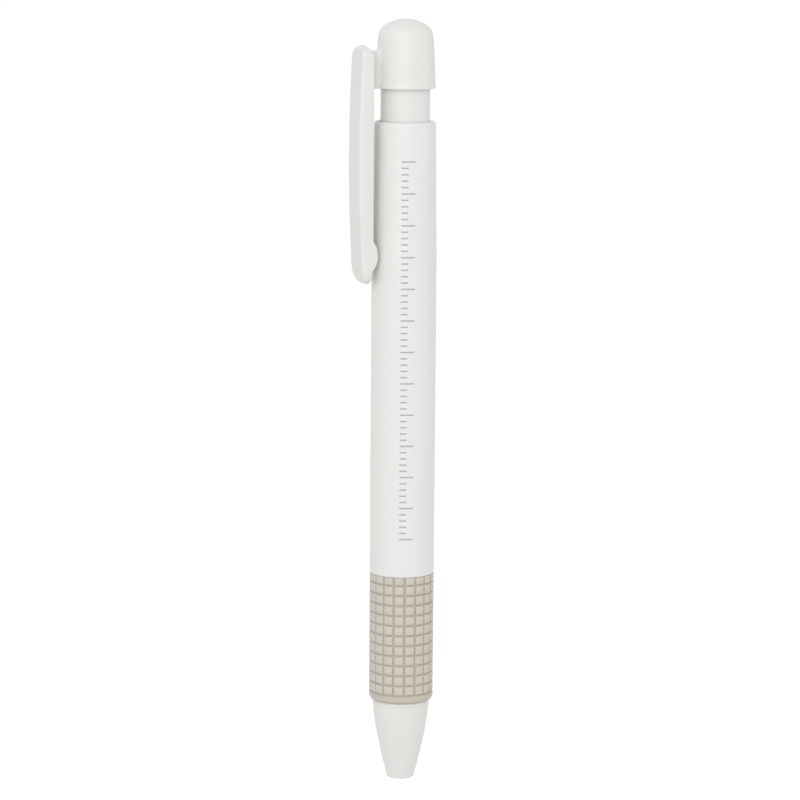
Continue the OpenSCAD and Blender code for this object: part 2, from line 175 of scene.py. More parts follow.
def piece(name, mesh, body, stands_for, material, sharp=40):
    """Makes an object of a mesh under way and sets it on its body in the place of a CAD node."""
    bmesh.ops.remove_doubles(mesh, verts=mesh.verts, dist=SAME_POINT)
    bmesh.ops.dissolve_degenerate(mesh, edges=mesh.edges, dist=NO_EDGE)
    bmesh.ops.recalc_face_normals(mesh, faces=mesh.faces)
    data = bpy.data.meshes.new(name)
    mesh.to_mesh(data)
    mesh.free()
    data.shade_smooth()
    data.set_sharp_from_angle(angle=math.radians(sharp))
    data.materials.append(material)
    made = bpy.data.objects.new(name, data)
    bpy.context.scene.collection.objects.link(made)
    weighted = made.modifiers.new("weighted normals", "WEIGHTED_NORMAL")
    weighted.keep_sharp = True
    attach(made, body)
    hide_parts(stands_for)
    return made


# Shader nodes


class Value:
    """A node socket that takes part in arithmetic. Each operation adds the Math node that works it out."""

    def __init__(self, nodes, socket):
        self.nodes = nodes
        self.socket = socket

    def math(self, operation, *others):
        return self.nodes.node("ShaderNodeMath", {"operation": operation}, (self, *others))

    def __add__(self, other):
        return self.math("ADD", other)

    def __sub__(self, other):
        return self.math("SUBTRACT", other)

    def __rsub__(self, other):
        return self.nodes.node("ShaderNodeMath", {"operation": "SUBTRACT"}, (other, self))

    def __mul__(self, other):
        return self.math("MULTIPLY", other)

    def __truediv__(self, other):
        return self.math("DIVIDE", other)

    def __gt__(self, other):
        return self.math("GREATER_THAN", other)

    def __lt__(self, other):
        return self.math("LESS_THAN", other)

    __radd__ = __add__
    __rmul__ = __mul__

    def swing(self, amount):
        """A value from 0 to 1 turned into a change of up to half this amount either way."""
        return (self - 0.5) * amount


class Nodes:
    """The node tree of one material or world."""

    def __init__(self, tree):
        self.tree = tree
        self.tree.nodes.clear()

    def node(self, kind, settings=None, inputs=(), output=0):
        """Adds a node, sets what it is, then gives its sockets their values or links."""
        made = self.tree.nodes.new(kind)
        for name, value in (settings or {}).items():
            setattr(made, name, value)
        for key, value in inputs.items() if isinstance(inputs, dict) else enumerate(inputs):
            if isinstance(value, Value):
                self.tree.links.new(value.socket, made.inputs[key])
            else:
                made.inputs[key].default_value = value
        return Value(self, made.outputs[output]) if len(made.outputs) else made

    def split(self, kind, outputs, inputs=()):
        """Several outputs of one new node."""
        made = self.node(kind, inputs=inputs).socket.node
        return [Value(self, made.outputs[key]) for key in outputs]

    def seen(self):
        """1 where it is seen, straight or in gloss or glass, and 0 where it only lights other things."""
        rays = ("Is Camera Ray", "Is Transmission Ray", "Is Glossy Ray")
        camera, clear, glossy = self.split("ShaderNodeLightPath", rays)
        return camera.math("MAXIMUM", clear).math("MAXIMUM", glossy)


class Finish(Nodes):
    """One procedural material. Its texture places are in millimetres, in the frame of the object."""

    def __init__(self, name):
        self.material = bpy.data.materials.new(name)
        self.material.use_nodes = True
        super().__init__(self.material.node_tree)
        metres = self.node("ShaderNodeTexCoord", output="Object")
        self.place = self.node(
            "ShaderNodeVectorMath", {"operation": "SCALE"}, {"Vector": metres, "Scale": 1 / MM}
        )

    def axes(self):
        """The texture place as three values, in millimetres."""
        return self.split("ShaderNodeSeparateXYZ", range(3), (self.place,))

    def noise(self, size, detail=3.0, stretch=(1, 1, 1)):
        """Noise from 0 to 1. Its patches have about this size in millimetres, times the stretch."""
        scale = tuple(1 / (size * s) for s in stretch)
        scaled = self.node("ShaderNodeVectorMath", {"operation": "MULTIPLY"}, (self.place, scale))
        return self.node(
            "ShaderNodeTexNoise", inputs={"Vector": scaled, "Scale": 1.0, "Detail": detail}, output="Fac"
        )

    def ease(self, value, zero, one):
        """A smooth step that is 0 at the first place and 1 at the second."""
        return self.node(
            "ShaderNodeMapRange",
            {"interpolation_type": "SMOOTHSTEP"},
            {"Value": value, "From Min": zero, "From Max": one, "To Min": 0.0, "To Max": 1.0},
        )

    def band(self, value, low, high, soft):
        """1 where the value lies between two limits, fading to 0 over a soft edge."""
        middle, half = (low + high) / 2, (high - low) / 2
        return self.ease((value - middle).math("ABSOLUTE"), half + soft, half - soft)

    def patches(self, zero, one, size, detail=3.0, stretch=(1, 1, 1)):
        """Patches of noise that stand out where it passes from the first level to the second."""
        return self.ease(self.noise(size, detail, stretch), zero, one)

    def mix(self, share, first, second):
        """A colour between two colours."""
        inputs = {"Factor": share}
        for socket, colour in ((6, first), (7, second)):
            inputs[socket] = colour if isinstance(colour, Value) else (*colour[:3], 1.0)
        return self.node("ShaderNodeMix", {"data_type": "RGBA"}, inputs, output=2)

    def bump(self, height, depth):
        """A normal for a height from 0 to 1 that stands for a depth in millimetres."""
        return self.node("ShaderNodeBump", inputs={"Height": height, "Distance": depth * MM})

    def shade(self, colour, rough, normal, **sockets):
        """Ends the material in a Principled shader. Other sockets have their names, with underscores."""
        inputs = {key.replace("_", " "): value for key, value in sockets.items()}
        inputs.update({"Base Color": colour, "Roughness": rough, "Normal": normal})
        shader = self.node("ShaderNodeBsdfPrincipled", inputs=inputs)
        self.node("ShaderNodeOutputMaterial", inputs={"Surface": shader})
        return self.material


# Finishes


def shell_plastic(name, settings, shade=0.0, ticks=None):
    """Satin off-white moulded plastic, with the faint flow and scuffs that handling leaves, and an even
    painted shade where a share of it is given.
    """
    f = Finish(name)
    flow = f.noise(size=9.0, detail=2.0, stretch=(1, 1, 3))
    grain = f.noise(size=0.16, detail=2.0)
    scuffs = f.patches(0.60, 0.72, size=0.5, detail=4.0, stretch=(0.35, 0.35, 5))
    # Painted shade: the shade argument darkens the whole part towards the shade colour; the nose, neck and
    # cap take it as a darker, shaded copy of the barrel's plastic.
    colour = f.mix(flow * 0.5 + shade, settings.colour, settings.shade_colour)
    colour = f.mix(scuffs * 0.12, colour, settings.shade_colour)
    rough = settings.roughness + flow.swing(0.06) + scuffs * 0.08 + grain.swing(0.05)
    if ticks is not None:
        ink = tick_marks(f, ticks)
        colour = f.mix(ink * ticks.strength, colour, ticks.colour)
        rough = rough + ink * 0.12
    normal = f.bump(grain * 0.75 + flow * 0.25, settings.grain_depth / MM)
    return f.shade(colour, rough, normal, IOR=1.49)


def tick_marks(f, ticks):
    """Plain graduations along the barrel: a short mark at each step and a long one at every fifth."""
    x, y, z = f.axes()
    middle, radius = ticks.angle, BARREL_HIGH.x / MM
    low, high, soft = ticks.low / MM, ticks.high / MM, ticks.soft / MM
    step, width, length = ticks.step / MM, ticks.width / MM, ticks.length / MM
    along = (y * math.cos(middle) - x * math.sin(middle)) / radius
    round_the_barrel = along.math("ARCSINE") * radius
    front = (x * math.cos(middle) + y * math.sin(middle)) > 0.0
    from_low = z - low
    nearest = (from_low / step).math("ROUND") * step
    line = f.band(from_low - nearest, -width / 2, width / 2, soft)
    long_one = (from_low / (5 * step)).math("ROUND") * (5 * step)
    is_long = (from_low - long_one).math("ABSOLUTE") < step / 2
    reach = length * (0.5 + 0.5 * is_long)
    start = -length / 2
    begun = f.ease(round_the_barrel, start - soft, start + soft)
    ended = f.ease(round_the_barrel - start - reach, -soft, soft)
    return line * begun * (1 - ended) * f.band(z, low - width, high + width, soft) * front


def grip_plastic(name, settings):
    """Matt warm grey plastic with random mottling, painted shade in the grooves and on the bead, and a
    painted highlight on the rounded edges of its pads.
    """
    f = Finish(name)
    x, y, z = f.axes()
    top, deep = GRIP_HIGH.x / MM, settings.groove_depth / MM
    bead_top, bead_edge = (GRIP_LOW.z + settings.bead) / MM, 0.10
    flat, face = top - 0.02, top - 0.001
    radius = (x * x + y * y).math("SQRT")
    groove = f.ease(radius, top - deep * 0.35, top - deep * 0.95)
    rim = f.ease(radius, top - deep * 0.55, top - deep * 0.10) * (1 - f.ease(radius, flat, face))
    bead = 1 - f.ease(z, bead_top - bead_edge, bead_top)
    mottle = f.noise(size=2.2)
    grain = f.noise(size=0.12)
    # Painted shade: the grooves and the plain bead are darkened towards the groove colour, in place of the
    # shade that falls in them.
    groove_and_bead_painted_shade = (groove * settings.groove_shade).math("MAXIMUM", bead * settings.bead_shade)
    colour = f.mix(groove_and_bead_painted_shade, settings.colour, settings.groove_colour)
    # Painted highlight: the pads' rounded edges are paler where light would catch them, mixed with random
    # mottling.
    colour = f.mix(rim * 0.25 + mottle.swing(0.12), colour, settings.worn_colour)
    rough = settings.roughness + groove * 0.08 - rim * 0.06 + grain.swing(0.10)
    return f.shade(colour, rough, f.bump(grain, settings.grain_depth / MM), IOR=1.46)


def inner_plastic(name, settings):
    """Natural moulded plastic of the hidden pieces, with a slight cloudiness and rubbed lines."""
    f = Finish(name)
    cloud = f.noise(size=3.0, stretch=(1, 1, 2))
    rubbed = f.patches(0.55, 0.75, size=0.25, stretch=(0.5, 0.5, 12))
    colour = f.mix(cloud * 0.6, settings.plastic_colour, settings.plastic_shade)
    rough = settings.plastic_roughness + cloud.swing(0.1) - rubbed * 0.12
    normal = f.bump(rubbed + f.noise(size=0.1) * 0.5, depth=0.006)
    return f.shade(colour, rough, normal, IOR=1.49)


def turned_brass(name, settings):
    """Brass with the fine rings of the lathe, and dull patches."""
    f = Finish(name)
    rings = f.noise(size=0.05, detail=2.0, stretch=(60, 60, 1))
    tarnish = f.patches(0.45, 0.75, size=1.4, detail=4.0)
    colour = f.mix(tarnish * 0.55, settings.brass_colour, settings.tarnish_colour)
    rough = settings.brass_roughness + tarnish * 0.18 + rings.swing(0.12)
    return f.shade(colour, rough, f.bump(rings, depth=0.004), Metallic=1.0)


def drawn_wire(name, settings):
    """Steel wire with a faint oxide bloom and drawing marks."""
    f = Finish(name)
    marks = f.noise(size=0.06, stretch=(8, 8, 1))
    bloom = f.patches(0.4, 0.8, size=0.9)
    colour = f.mix(bloom * 0.4, settings.steel_colour, settings.bloom_colour)
    rough = settings.steel_roughness + bloom * 0.14 + marks.swing(0.1)
    return f.shade(colour, rough, f.bump(marks, depth=0.003), Metallic=1.0)


def seal_rubber(name, settings):
    """Dark matt rubber with a fine bloom."""
    f = Finish(name)
    bloom = f.noise(size=0.7, detail=4.0)
    colour = f.mix(bloom * 0.5, settings.rubber_colour, settings.rubber_bloom)
    rough = settings.rubber_roughness + bloom.swing(0.2)
    return f.shade(colour, rough, f.bump(f.noise(size=0.08), depth=0.01))


def eraser_rubber(name, settings):
    """White eraser: matt and fine-grained, with graphite smudges at the end that is used."""
    f = Finish(name)
    z = f.axes()[2]
    end, smudged = STICK_LOW.z / MM, settings.smudged / MM
    grain = f.noise(size=0.14, detail=4.0)
    cloud = f.noise(size=2.5)
    used = f.ease(z + cloud.swing(1.5), end + smudged, end)
    smudge = used * f.patches(0.42, 0.66, size=0.5, detail=5.0)
    colour = f.mix(cloud * 0.35, settings.colour, settings.shade_colour)
    colour = f.mix(smudge * 0.55, colour, settings.smudge_colour)
    rough = settings.roughness + grain.swing(0.16)
    return f.shade(colour, rough, f.bump(grain, depth=0.012), IOR=1.5)


# Settings, made by functions that are named in the manner of bpy.props


def Colour(name, description, default):
    return FloatVectorProperty(
        name=name, description=description, subtype="COLOR", size=3, min=0.0, max=1.0, default=default
    )


def Number(name, description, default, **options):
    return FloatProperty(name=name, description=description, default=default, **options)


def Share(name, description, default):
    return Number(name, description, default, min=0.0, max=1.0, subtype="FACTOR")


def Angle(name, description, degrees):
    return Number(name, description, math.radians(degrees), subtype="ANGLE")


def Length(name, description, millimetres):
    return Number(name, description, millimetres * MM, min=0.0, unit="LENGTH", precision=5)


class ShellSettings(PropertyGroup):
    colour: Colour("Colour", "Colour of the off-white plastic", (0.80, 0.80, 0.78))
    # The shade colour darkens the real flow lines and scuffs; through the trim share it is also painted
    # shade over the nose, neck and cap.
    shade_colour: Colour("Shade", "Slightly darker colour of its flow lines", (0.76, 0.755, 0.73))
    trim_shade: Share("Trim shade", "How much of the shade nose, neck and cap have all over", 0.4)
    roughness: Share("Roughness", "Mean roughness", 0.36)
    grain_depth: Length("Grain depth", "Depth of the fine moulded grain", 0.004)
    front_round: Length("Front round", "Radius of the barrel's front edge", 0.30)
    rim_round: Length("Rim round", "How far the rounding of the rear rim draws in", 0.25)
    rim_rise: Length("Rim rise", "Height of that rounding", 0.60)
    parallel: Length("Parallel stretch", "Length of the barrel before its taper", 44.0)
    rear_radius: Length("Rear radius", "Radius of the barrel at its rear rim", 4.85)
    step_width: Length("Step width", "How much wider the barrel's bore is at the rim", 0.06)
    step_depth: Length("Step depth", "Depth of that wider stretch below the rim", 0.30)
    key_width: Length("Key width", "Width of the stem's key in the barrel", 2.2)
    key_drop: Length("Key drop", "Depth of the key's end below the rim", 1.5)
    band_height: Length("Nose band", "Height of the plain band at the cone's wide end", 0.70)
    band_step: Length("Nose step", "Step of the cone below its band", 0.05)
    band_line: Length("Nose line", "Depth and height of the fine line below the band", 0.05)
    band_lean: Length("Nose band's lean", "How far the band draws in at the grip", 0.12)
    lip_wall: Length("Lip wall", "Wall of the cone just above its lip", 0.36)
    lip_round: Length("Lip round", "How far the rounding of the cone's lip draws in", 0.32)
    lip_rise: Length("Lip rise", "Height of that rounding", 0.70)
    fullness: Number("Nose fullness", "1 is straight, more is rounder", 1.44, min=1.0, max=1.5)


class GripSettings(PropertyGroup):
    colour: Colour("Colour", "Colour of the grip's pads", (0.615, 0.57, 0.495))
    # Painted shade: this colour darkens the grooves and the bead in place of their shade.
    groove_colour: Colour("Grooves", "Colour down in the grooves", (0.36, 0.335, 0.29))
    # Painted highlight on the pads' rounded edges, also the colour of the random mottling.
    worn_colour: Colour("Edges", "Colour of the pads' rounded edges", (0.66, 0.63, 0.56))
    # Painted shade: shares of the groove colour on the bead and in the grooves.
    bead_shade: Share("Bead shade", "Share of the grooves' colour on the smooth bead", 0.26)
    groove_shade: Share("Groove shade", "How far the grooves take their own colour", 0.57)
    roughness: Share("Roughness", "Mean roughness", 0.52)
    grain_depth: Length("Grain depth", "Depth of the fine matt grain", 0.006)
    groove_depth: Length("Groove depth", "Depth of the grooves", 0.22)
    groove_floor: Length("Groove floor", "Half the flat width of a groove's floor", 0.07)
    groove_half: Length("Groove half width", "Half the width of a groove between the pads", 0.24)
    rings: IntProperty(name="Ring grooves", description="Number of ring grooves", min=2, default=12)
    grooves: IntProperty(name="Long grooves", description="Number of long grooves", min=2, default=18)
    turn: Angle("First groove", "Angle of the first long groove", 13.7)
    top_row: Length("Top row", "Height of the row above the first ring groove", 1.3)
    bead: Length("Bead", "Height of the plain bead below the last ring groove", 1.4)
    bead_round: Length("Bead round", "How far the rounding of the bead's edge draws in", 0.55)
    bead_rise: Length("Bead rise", "Height of that rounding", 0.90)
    wall: Length("Wall", "Thickness of the sleeve over its pads", 0.70)


class CapSettings(PropertyGroup):
    length: Length("Length", "Length of the cap", 10.8)
    dome: Length("Dome", "Radius of the dome", 6.0)
    shoulder_round: Length("Shoulder round", "Radius of the shoulder below the dome", 2.4)
    shoulder: Length("Shoulder", "Radius where the cap's side begins below it", 4.32)
    lean: Angle("Lean", "How far that end of the side leans inward", 6.0)
    bulge: Length("Bulge", "How far the side bulges halfway", 0.08)
    lip: Length("Lip", "How far the lip stands out at the open end", 0.11)
    lip_height: Length("Lip height", "Height of the lip with its flare", 0.70)
    lip_flare: Length("Lip flare", "Height over which the side flares out to the lip", 0.50)
    rim_edge: Length("Rim edge", "Radius of the edge round the open end", 0.14)
    bore_edge: Length("Bore edge", "Bevel at the mouth of the bore", 0.15)
    floor_gap: Length("Floor gap", "Gap between the stem's end and the floor of the bore", 0.20)
    hollow: Length("Hollow", "Radius of the hollow under the dome", 2.8)
    hollow_edge: Length("Hollow edge", "Radius of the edge round the hollow's top", 0.30)
    wall: Length("Dome wall", "Wall between the hollow and the apex", 1.4)


class ClipSettings(PropertyGroup):
    drop: Length("Clip drop", "Distance from the cap's top down to the clip's top", 4.0)
    width: Length("Clip width", "Width of the clip", 5.2)
    thickness: Length("Clip thickness", "Thickness of the clip at its ends", 2.0)
    bow: Length("Clip bow", "Extra thickness halfway along the clip", 0.44)
    gap: Length("Clip gap", "Gap between the barrel and the clip's inner face", 1.05)
    outer_edge: Length("Outer edge", "Radius of the edges round the clip's outer face", 0.60)
    inner_edge: Length("Inner edge", "Radius of the edges round the clip's inner face", 0.18)
    top_height: Length("Top height", "Height of the clip's rounded top, seen from the front", 1.8)
    tip_up: Length("Tip place", "Height of the clip's end above the solid's lowest point", 0.18)
    tip_height: Length("Tip height", "Height of the clip's rounded tip, seen from the front", 3.2)
    tip_power: Number("Tip power", "1 is an oval tip, less is squarer", 0.67)
    tip_flare: Length("Tip flare", "How far the tip flares away from the barrel", 0.20)
    tip_length: Length("Tip rounding", "Length over which the outer face draws in to the tip", 4.5)
    tip_depth: Length("Tip depth", "How far the outer face draws in at the tip", 1.20)
    top_length: Length("Top rounding", "Length over which the outer face draws in to the top", 1.8)
    top_depth: Length("Top depth", "How far the outer face draws in at the top", 0.60)
    slope_length: Length("Slope length", "Length of the inner face's slope to the top", 1.5)
    slope_depth: Length("Slope depth", "How far the inner face slopes back at the top", 0.75)
    bump_length: Length("Bump length", "Length of the bump that presses on the pocket", 4.6)
    bump_up: Length("Bump place", "Height of the bump's middle above the clip's tip", 4.62)
    bump_gap: Length("Bump gap", "Gap between the bump and the barrel", 0.12)
    bump_edge: Number("Bump edge", "How much rounder the edges are on the bump", 1.5)
    arm_width: Length("Arm width", "Width of the arm between clip and cap", 1.6)
    arm_height: Length("Arm height", "Height of that arm", 5.9)
    arm_blend: Length("Arm blend", "Radius of the hollow blend where the arm meets the cap", 0.70)


class TickSettings(PropertyGroup):
    colour: Colour("Colour", "Colour of the printed marks", (0.33, 0.335, 0.34))
    strength: Share("Strength", "Cover of the ink", 0.8)
    angle: Angle("Angle", "Where the marks stand round the barrel", 255.0)
    low: Length("Lower end", "Height of the lowest mark", 40.0)
    high: Length("Upper end", "Height of the highest mark", 100.0)
    step: Length("Step", "Distance from mark to mark", 1.0)
    width: Length("Width", "Thickness of a mark", 0.22)
    length: Length("Length", "Length of a long mark", 2.2)
    soft: Length("Soft edge", "Half the width over which the ink fades out", 0.03)


class InnerSettings(PropertyGroup):
    plastic_colour: Colour("Plastic", "Colour of the hidden mouldings", (0.74, 0.72, 0.66))
    plastic_shade: Colour("Plastic shade", "Cloudier colour in the mouldings", (0.66, 0.63, 0.55))
    plastic_roughness: Share("Plastic roughness", "Mean roughness of the hidden mouldings", 0.42)
    brass_colour: Colour("Brass", "Colour of the chuck ring", (0.78, 0.57, 0.25))
    tarnish_colour: Colour("Tarnish", "Colour of the ring's dull patches", (0.45, 0.30, 0.13))
    brass_roughness: Share("Brass roughness", "Roughness of the bright brass", 0.22)
    steel_colour: Colour("Steel", "Colour of the spring wire", (0.60, 0.60, 0.60))
    bloom_colour: Colour("Oxide", "Colour of the wire's oxide bloom", (0.38, 0.37, 0.36))
    steel_roughness: Share("Steel roughness", "Roughness of the bright wire", 0.26)
    rubber_colour: Colour("Rubber", "Colour of the rubber ring", (0.055, 0.055, 0.058))
    rubber_bloom: Colour("Rubber bloom", "Colour of the ring's bloom", (0.11, 0.11, 0.115))
    rubber_roughness: Share("Rubber roughness", "Mean roughness of the rubber ring", 0.62)
    tube: Length("Tube", "Diameter of the inner tube", 6.0)
    tube_room: Length("Tube room", "Radial room that the stick has inside the tube", 0.35)
    wire: Length("Wire", "Diameter of the spring's wire", 0.5)
    turns: Number("Turns", "Number of turns of the spring", 9.0, min=3.0)


class StickSettings(PropertyGroup):
    colour: Colour("Colour", "Colour of the eraser stick", (0.86, 0.86, 0.85))
    shade_colour: Colour("Shade", "Slightly darker colour in the stick", (0.79, 0.79, 0.775))
    smudge_colour: Colour("Smudge", "Colour of the graphite smudges", (0.22, 0.22, 0.23))
    smudged: Length("Smudged", "Length of the smudged end", 1.6)
    roughness: Share("Roughness", "Mean roughness", 0.68)
    worn_round: Length("Worn edge", "Radius of the worn edge at the end that is used", 0.45)
    worn_slope: Length("Worn slope", "How much one side of that end is worn down", 0.35)
    worn_depth: Length("Worn depth", "Length of the stick that the slope reaches", 1.5)


class StageSettings(PropertyGroup):
    distance: Length("Distance", "Distance from the camera to the object's middle", 550.0)
    azimuth: Angle("Azimuth", "Camera's angle round the object", -22.0)
    elevation: Angle("Elevation", "Camera's angle above the horizon", 9.3)
    roll: Angle("Roll", "Camera's roll", 0.45)
    lens: Number("Lens", "Focal length in millimetres, on a 36 mm sensor", 155.6, unit="CAMERA")
    aim_height: Length("Aim height", "Height on the axis that the camera aims at", 61.6)
    shift_x: Number("Shift across", "Lens shift across the frame", -0.0038)
    floor_drop: Length("Floor drop", "How far the floor lies below the nose", 75.0)
    surround: Share("Surround", "Strength of the soft light from all round", 0.755)
    glow: Share("Floor glow", "Light added to the floor where it is seen", 0.43)
    key: Number("Key", "Power of the soft lamp in front", 1.04, min=0.0, unit="POWER")
    fill: Number("Fill", "Power of the soft lamp on the right", 0.20, min=0.0, unit="POWER")


class EraserSettings(PropertyGroup):
    shell: PointerProperty(name="Shell", description="Barrel, nose, stem and cap", type=ShellSettings)
    grip: PointerProperty(name="Grip", description="Grip sleeve", type=GripSettings)
    cap: PointerProperty(name="Cap", description="Domed cap", type=CapSettings)
    clip: PointerProperty(name="Clip", description="Pocket clip and its arm", type=ClipSettings)
    ticks: PointerProperty(name="Marks", description="Printed marks on the barrel", type=TickSettings)
    inner: PointerProperty(name="Inside", description="Pieces of the mechanism", type=InnerSettings)
    stick: PointerProperty(name="Stick", description="Eraser stick", type=StickSettings)
    stage: PointerProperty(name="Stage", description="Floor, lamps and camera", type=StageSettings)


# Pieces


class ERASER_OT_nose(Operator):
    """Makes the tapered nose with its lip, its band and the spigot inside the barrel"""

    bl_idname = "eraser.nose"
    bl_label = "Nose"

    def execute(self, context):
        s = context.scene.eraser.shell
        mouth = STICK_HIGH.x + RUN_GAP
        tip = mouth + s.lip_wall
        top, base = GRIP_LOW.z, NOSE_HIGH.x
        band = top - s.band_height
        mouth_edge, spigot_edge, steps = 0.02 * MM, 0.2 * MM, 40
        cone = []
        for t in spread(0.0, 1.0, 1 / steps)[1:]:
            fuller = 1 - (1 - t) ** s.fullness
            cone.append((tip + (base - s.band_step - tip) * fuller, s.lip_rise + (band - s.lip_rise) * t))
        spigot = SLEEVE_HIGH.x
        pocket = RING_HIGH.x + RUN_GAP
        stop = RING_LOW.z - travel("ring_slide") - 2 * STOP_GAP
        jaws = CHUCK_HIGH.x + LOOSE_GAP
        seal = SEAL_HIGH.x + SEAT_GAP
        outline = (
            [(mouth + mouth_edge, 0.0)]
            + oval(tip - s.lip_round, s.lip_rise, s.lip_round, s.lip_rise, -90, 0, 12)[1:]
            + cone
            + [(base - s.band_step - s.band_line, band + s.band_line), (base, band + 3 * s.band_line)]
            + [(base - s.band_lean, top)]
            + [(spigot, top), (spigot, NOSE_HIGH.z - spigot_edge), (spigot - spigot_edge, NOSE_HIGH.z)]
            + [(pocket, NOSE_HIGH.z), (pocket, stop), (jaws, stop), (jaws, SEAL_HIGH.z)]
            + [(seal, SEAL_HIGH.z), (seal, SEAL_LOW.z), (mouth, SEAL_LOW.z), (mouth, mouth_edge)]
        )
        mesh = bmesh.new()
        skin(mesh, turned(outline))
        # Painted shade: the nose takes the darker, shaded copy of the plastic.
        material = shell_plastic("nose plastic", s, s.trim_shade)
        piece("nose", mesh, "barrel", "nose_cone", material)
        return {"FINISHED"}


class ERASER_OT_grip(Operator):
    """Makes the grip sleeve with its rows of rounded pads between ring grooves and long grooves"""

    bl_idname = "eraser.grip"
    bl_label = "Grip"

    def execute(self, context):
        s = context.scene.eraser.grip
        low, high, radius = GRIP_LOW.z, GRIP_HIGH.z, GRIP_HIGH.x
        first = low + s.bead
        pitch = (high - s.top_row - first) / (s.rings - 1)
        rings = [first + i * pitch for i in range(s.rings)]
        grooves = [s.turn + 2 * math.pi * i / s.grooves for i in range(s.grooves)]
        slope, steps = s.groove_half - s.groove_floor, 5

        def depth(distance):
            """Share of the groove's depth at a distance from its middle."""
            t = (abs(distance) - s.groove_floor) / slope
            return 0.5 + 0.5 * math.cos(math.pi * min(max(t, 0), 1))

        half = [s.groove_floor + slope * i / steps for i in range(steps + 1)]
        across = sorted([-u for u in half] + [0.0] + half)
        angles = []
        for g in grooves:
            angles += [g + u / radius for u in across] + [g + math.pi / s.grooves]
        edge = 0.10 * MM
        heights = [low + s.bead_rise, (low + s.bead_rise + first - s.groove_half) / 2]
        for z in rings:
            heights += [z + u for u in across] + [z + pitch / 2]
        heights = [z for z in heights if z < high - edge] + [high - edge]

        def surface(angle, z):
            """Radius of the sleeve at a place on its outside."""
            ring = max(depth(z - r) for r in rings)
            turn = min(abs(math.remainder(angle - g, 2 * math.pi)) for g in grooves)
            along = depth(turn * radius) if z >= first else 0.0
            return radius - s.groove_depth * (1 - (1 - ring) * (1 - along))

        bore = radius - s.wall
        bead = oval(radius - s.bead_round, low + s.bead_rise, s.bead_round, s.bead_rise, -90, -8, 9)
        columns = []
        for a in angles:
            body = [(surface(a, z), z) for z in heights]
            top = surface(a, high)
            end = [(top - 0.3 * edge, high - 0.3 * edge), (top - edge, high)]
            columns.append([polar(r, a, z) for r, z in [(bore, low), *bead, *body, *end, (bore, high)]])
        mesh = bmesh.new()
        skin(mesh, columns)
        piece("grip", mesh, "barrel", "grip_sleeve", grip_plastic("grip plastic", s), sharp=70)
        return {"FINISHED"}


class ERASER_OT_barrel(Operator):
    """Makes the long barrel with its tapered rear, its rounded rims, its bores and the keyway"""

    bl_idname = "eraser.barrel"
    bl_label = "Barrel"

    def execute(self, context):
        s = context.scene.eraser.shell
        radius, low, joint, rim = BARREL_HIGH.x, BARREL_LOW.z, GRIP_HIGH.z, BARREL_HIGH.z
        front_bore = SLEEVE_HIGH.x + SEAT_GAP
        front = GRIP_HIGH.x - context.scene.eraser.grip.wall - SEAT_GAP
        throat, sleeve_top = TUBE_HIGH.x + LOOSE_GAP, SLEEVE_HIGH.z + STOP_GAP
        bore = STEM_HIGH.x + RUN_GAP
        throat_top = joint + 2 * MM
        mouth_lead, key_room = 0.02 * MM, 0.5 * MM
        taper_low = joint + s.front_round + s.parallel
        taper_high = rim - s.rim_rise
        narrower, longer, steps = radius - s.rear_radius, taper_high - taper_low, 24
        taper = [(radius - narrower * t ** 1.5, taper_low + longer * t) for t in spread(0, 1, 1 / steps)]
        key_half, key_reach = s.key_width / 2 + RUN_GAP, -STEM_LOW.x + RUN_GAP
        key_low = STEM_LOW.z - travel("click_press") - key_room

        def outline(inner, angle):
            """The barrel's section. The keyway's columns have a wider bore above its foot."""
            wide = key_reach / -math.cos(angle) if inner else bore
            mouth = max(bore + s.step_width, wide + mouth_lead)
            return (
                [(front_bore, low), (front, low), (front, joint)]
                + arc(radius - s.front_round, joint + s.front_round, s.front_round, -90, 0, 7)
                + [(radius, z) for z in spread(joint + s.front_round + MM, taper_low - MM, 4 * MM)]
                + taper
                + oval(s.rear_radius - s.rim_round, taper_high, s.rim_round, s.rim_rise, 12, 90, 9)
                + [(mouth, rim), (mouth, rim - s.step_depth), (wide, rim - s.step_depth), (wide, key_low)]
                + [(bore, key_low), (bore, throat_top), (throat, throat_top), (throat, sleeve_top)]
                + [(front_bore, sleeve_top)]
            )

        half = math.asin(key_half / bore)
        plain = [(False, a) for a in spread(half, 2 * math.pi - half, math.radians(2.5))]
        keyed = [(True, a) for a in spread(-half, half, half / 3)]
        columns = []
        for inner, a in plain + keyed:
            turn = a + math.pi
            columns.append([polar(r, turn, z) for r, z in outline(inner, turn)])
        mesh = bmesh.new()
        skin(mesh, columns)
        material = shell_plastic("barrel plastic", s, ticks=context.scene.eraser.ticks)
        piece("barrel_tube", mesh, "barrel", "barrel", material)
        return {"FINISHED"}


